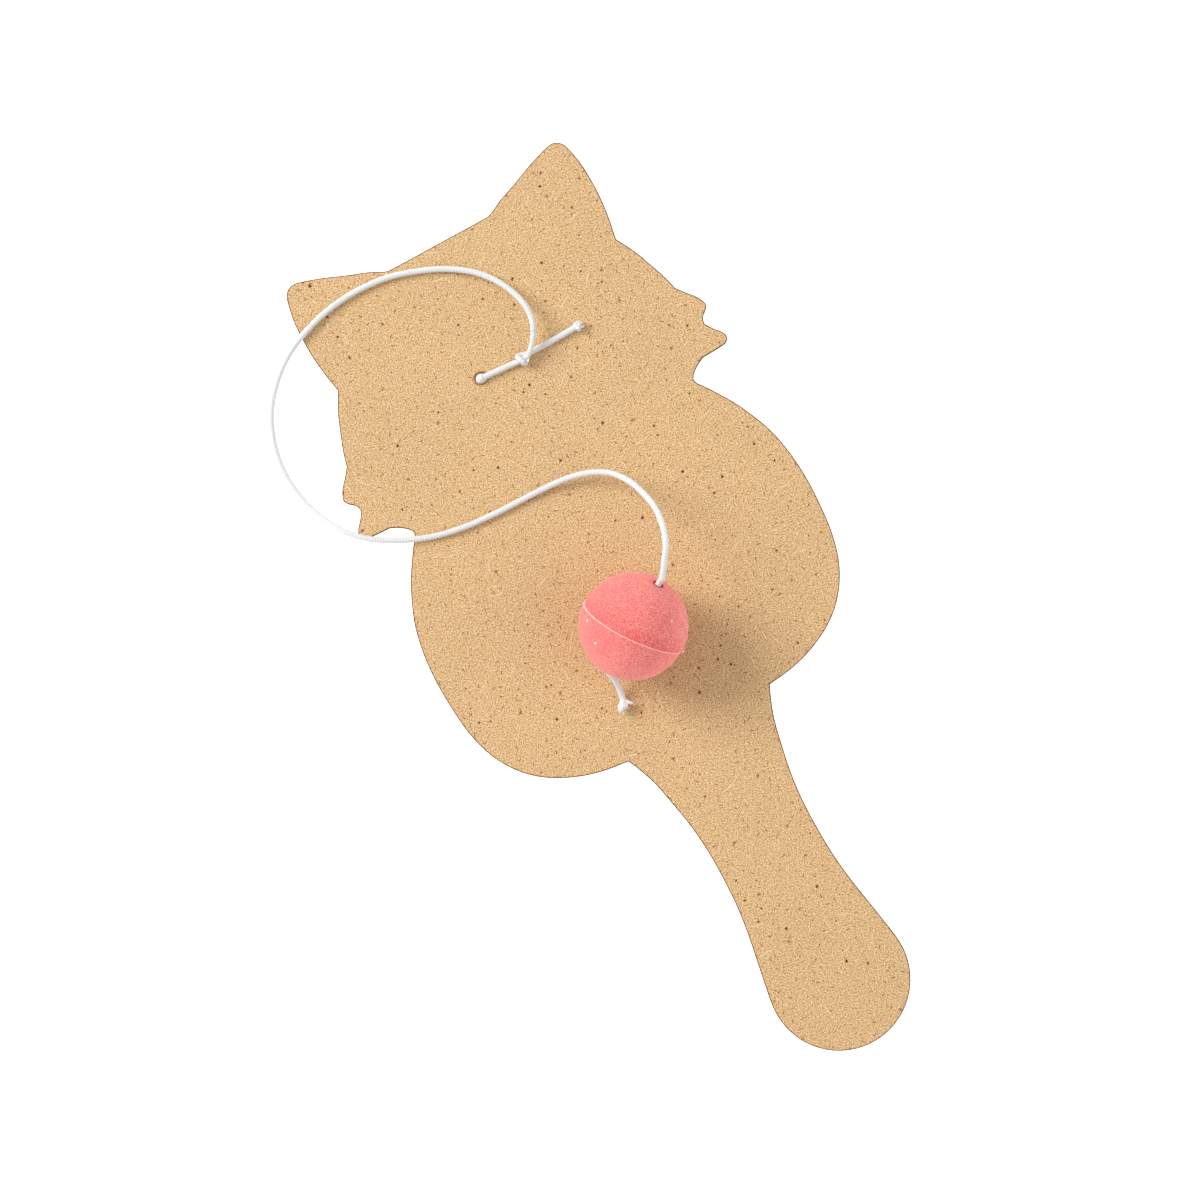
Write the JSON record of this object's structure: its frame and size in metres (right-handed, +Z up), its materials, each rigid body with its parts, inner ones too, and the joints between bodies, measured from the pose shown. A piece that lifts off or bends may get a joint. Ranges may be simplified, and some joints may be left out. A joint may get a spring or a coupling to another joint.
{
  "type": "paddle ball game",
  "caption": "Flat cat-shaped fibreboard paddle with a rubber ball on a loose elastic cord that is knotted through two holes in the head.",
  "frame": {"origin": "on the table, under the middle of the paddle's length and width, with the paddle lying on its back", "axes": "+Y from the handle to the ears, +Z up out of the front face, +X to the right of the paddle seen from the front"},
  "size_m": [0.1218, 0.25, 0.0334],
  "materials": {
    "fibreboard": "bare smooth-pressed fibreboard, matte",
    "sleeve": "white braided sleeve",
    "core_rubber": "natural latex",
    "ball_rubber": "dusty matte moulded rubber"
  },
  "bodies": {
    "paddle": {"paddle_board": "fibreboard", "elastic_back_strand": "sleeve", "elastic_front_strand": "sleeve", "anchor_knot": "sleeve", "elastic_anchor_tail": "sleeve", "anchor_tail_fray": "sleeve", "anchor_tail_core": "core_rubber", "elastic_free_stretch": "sleeve"},
    "cord_end": {"elastic_in_ball": "sleeve", "elastic_ball_tail": "sleeve", "ball_tail_fray": "sleeve", "ball_tail_core": "core_rubber"},
    "ball": {"ball": "ball_rubber"}
  },
  "joints": [
    {"name": "ball_bounce", "type": "slide", "parent": "paddle", "child": "cord_end", "axis": [0, 0, 1], "range_m": [0, 0.23], "deforming": ["elastic_free_stretch"]},
    {"name": "ball_turn", "type": "hinge", "parent": "cord_end", "child": "ball", "pos_m": [-0.0031, 0.0024, 0.01909], "axis": [0.7704, 0.4629, 0.4384], "continuous": true}
  ]
}
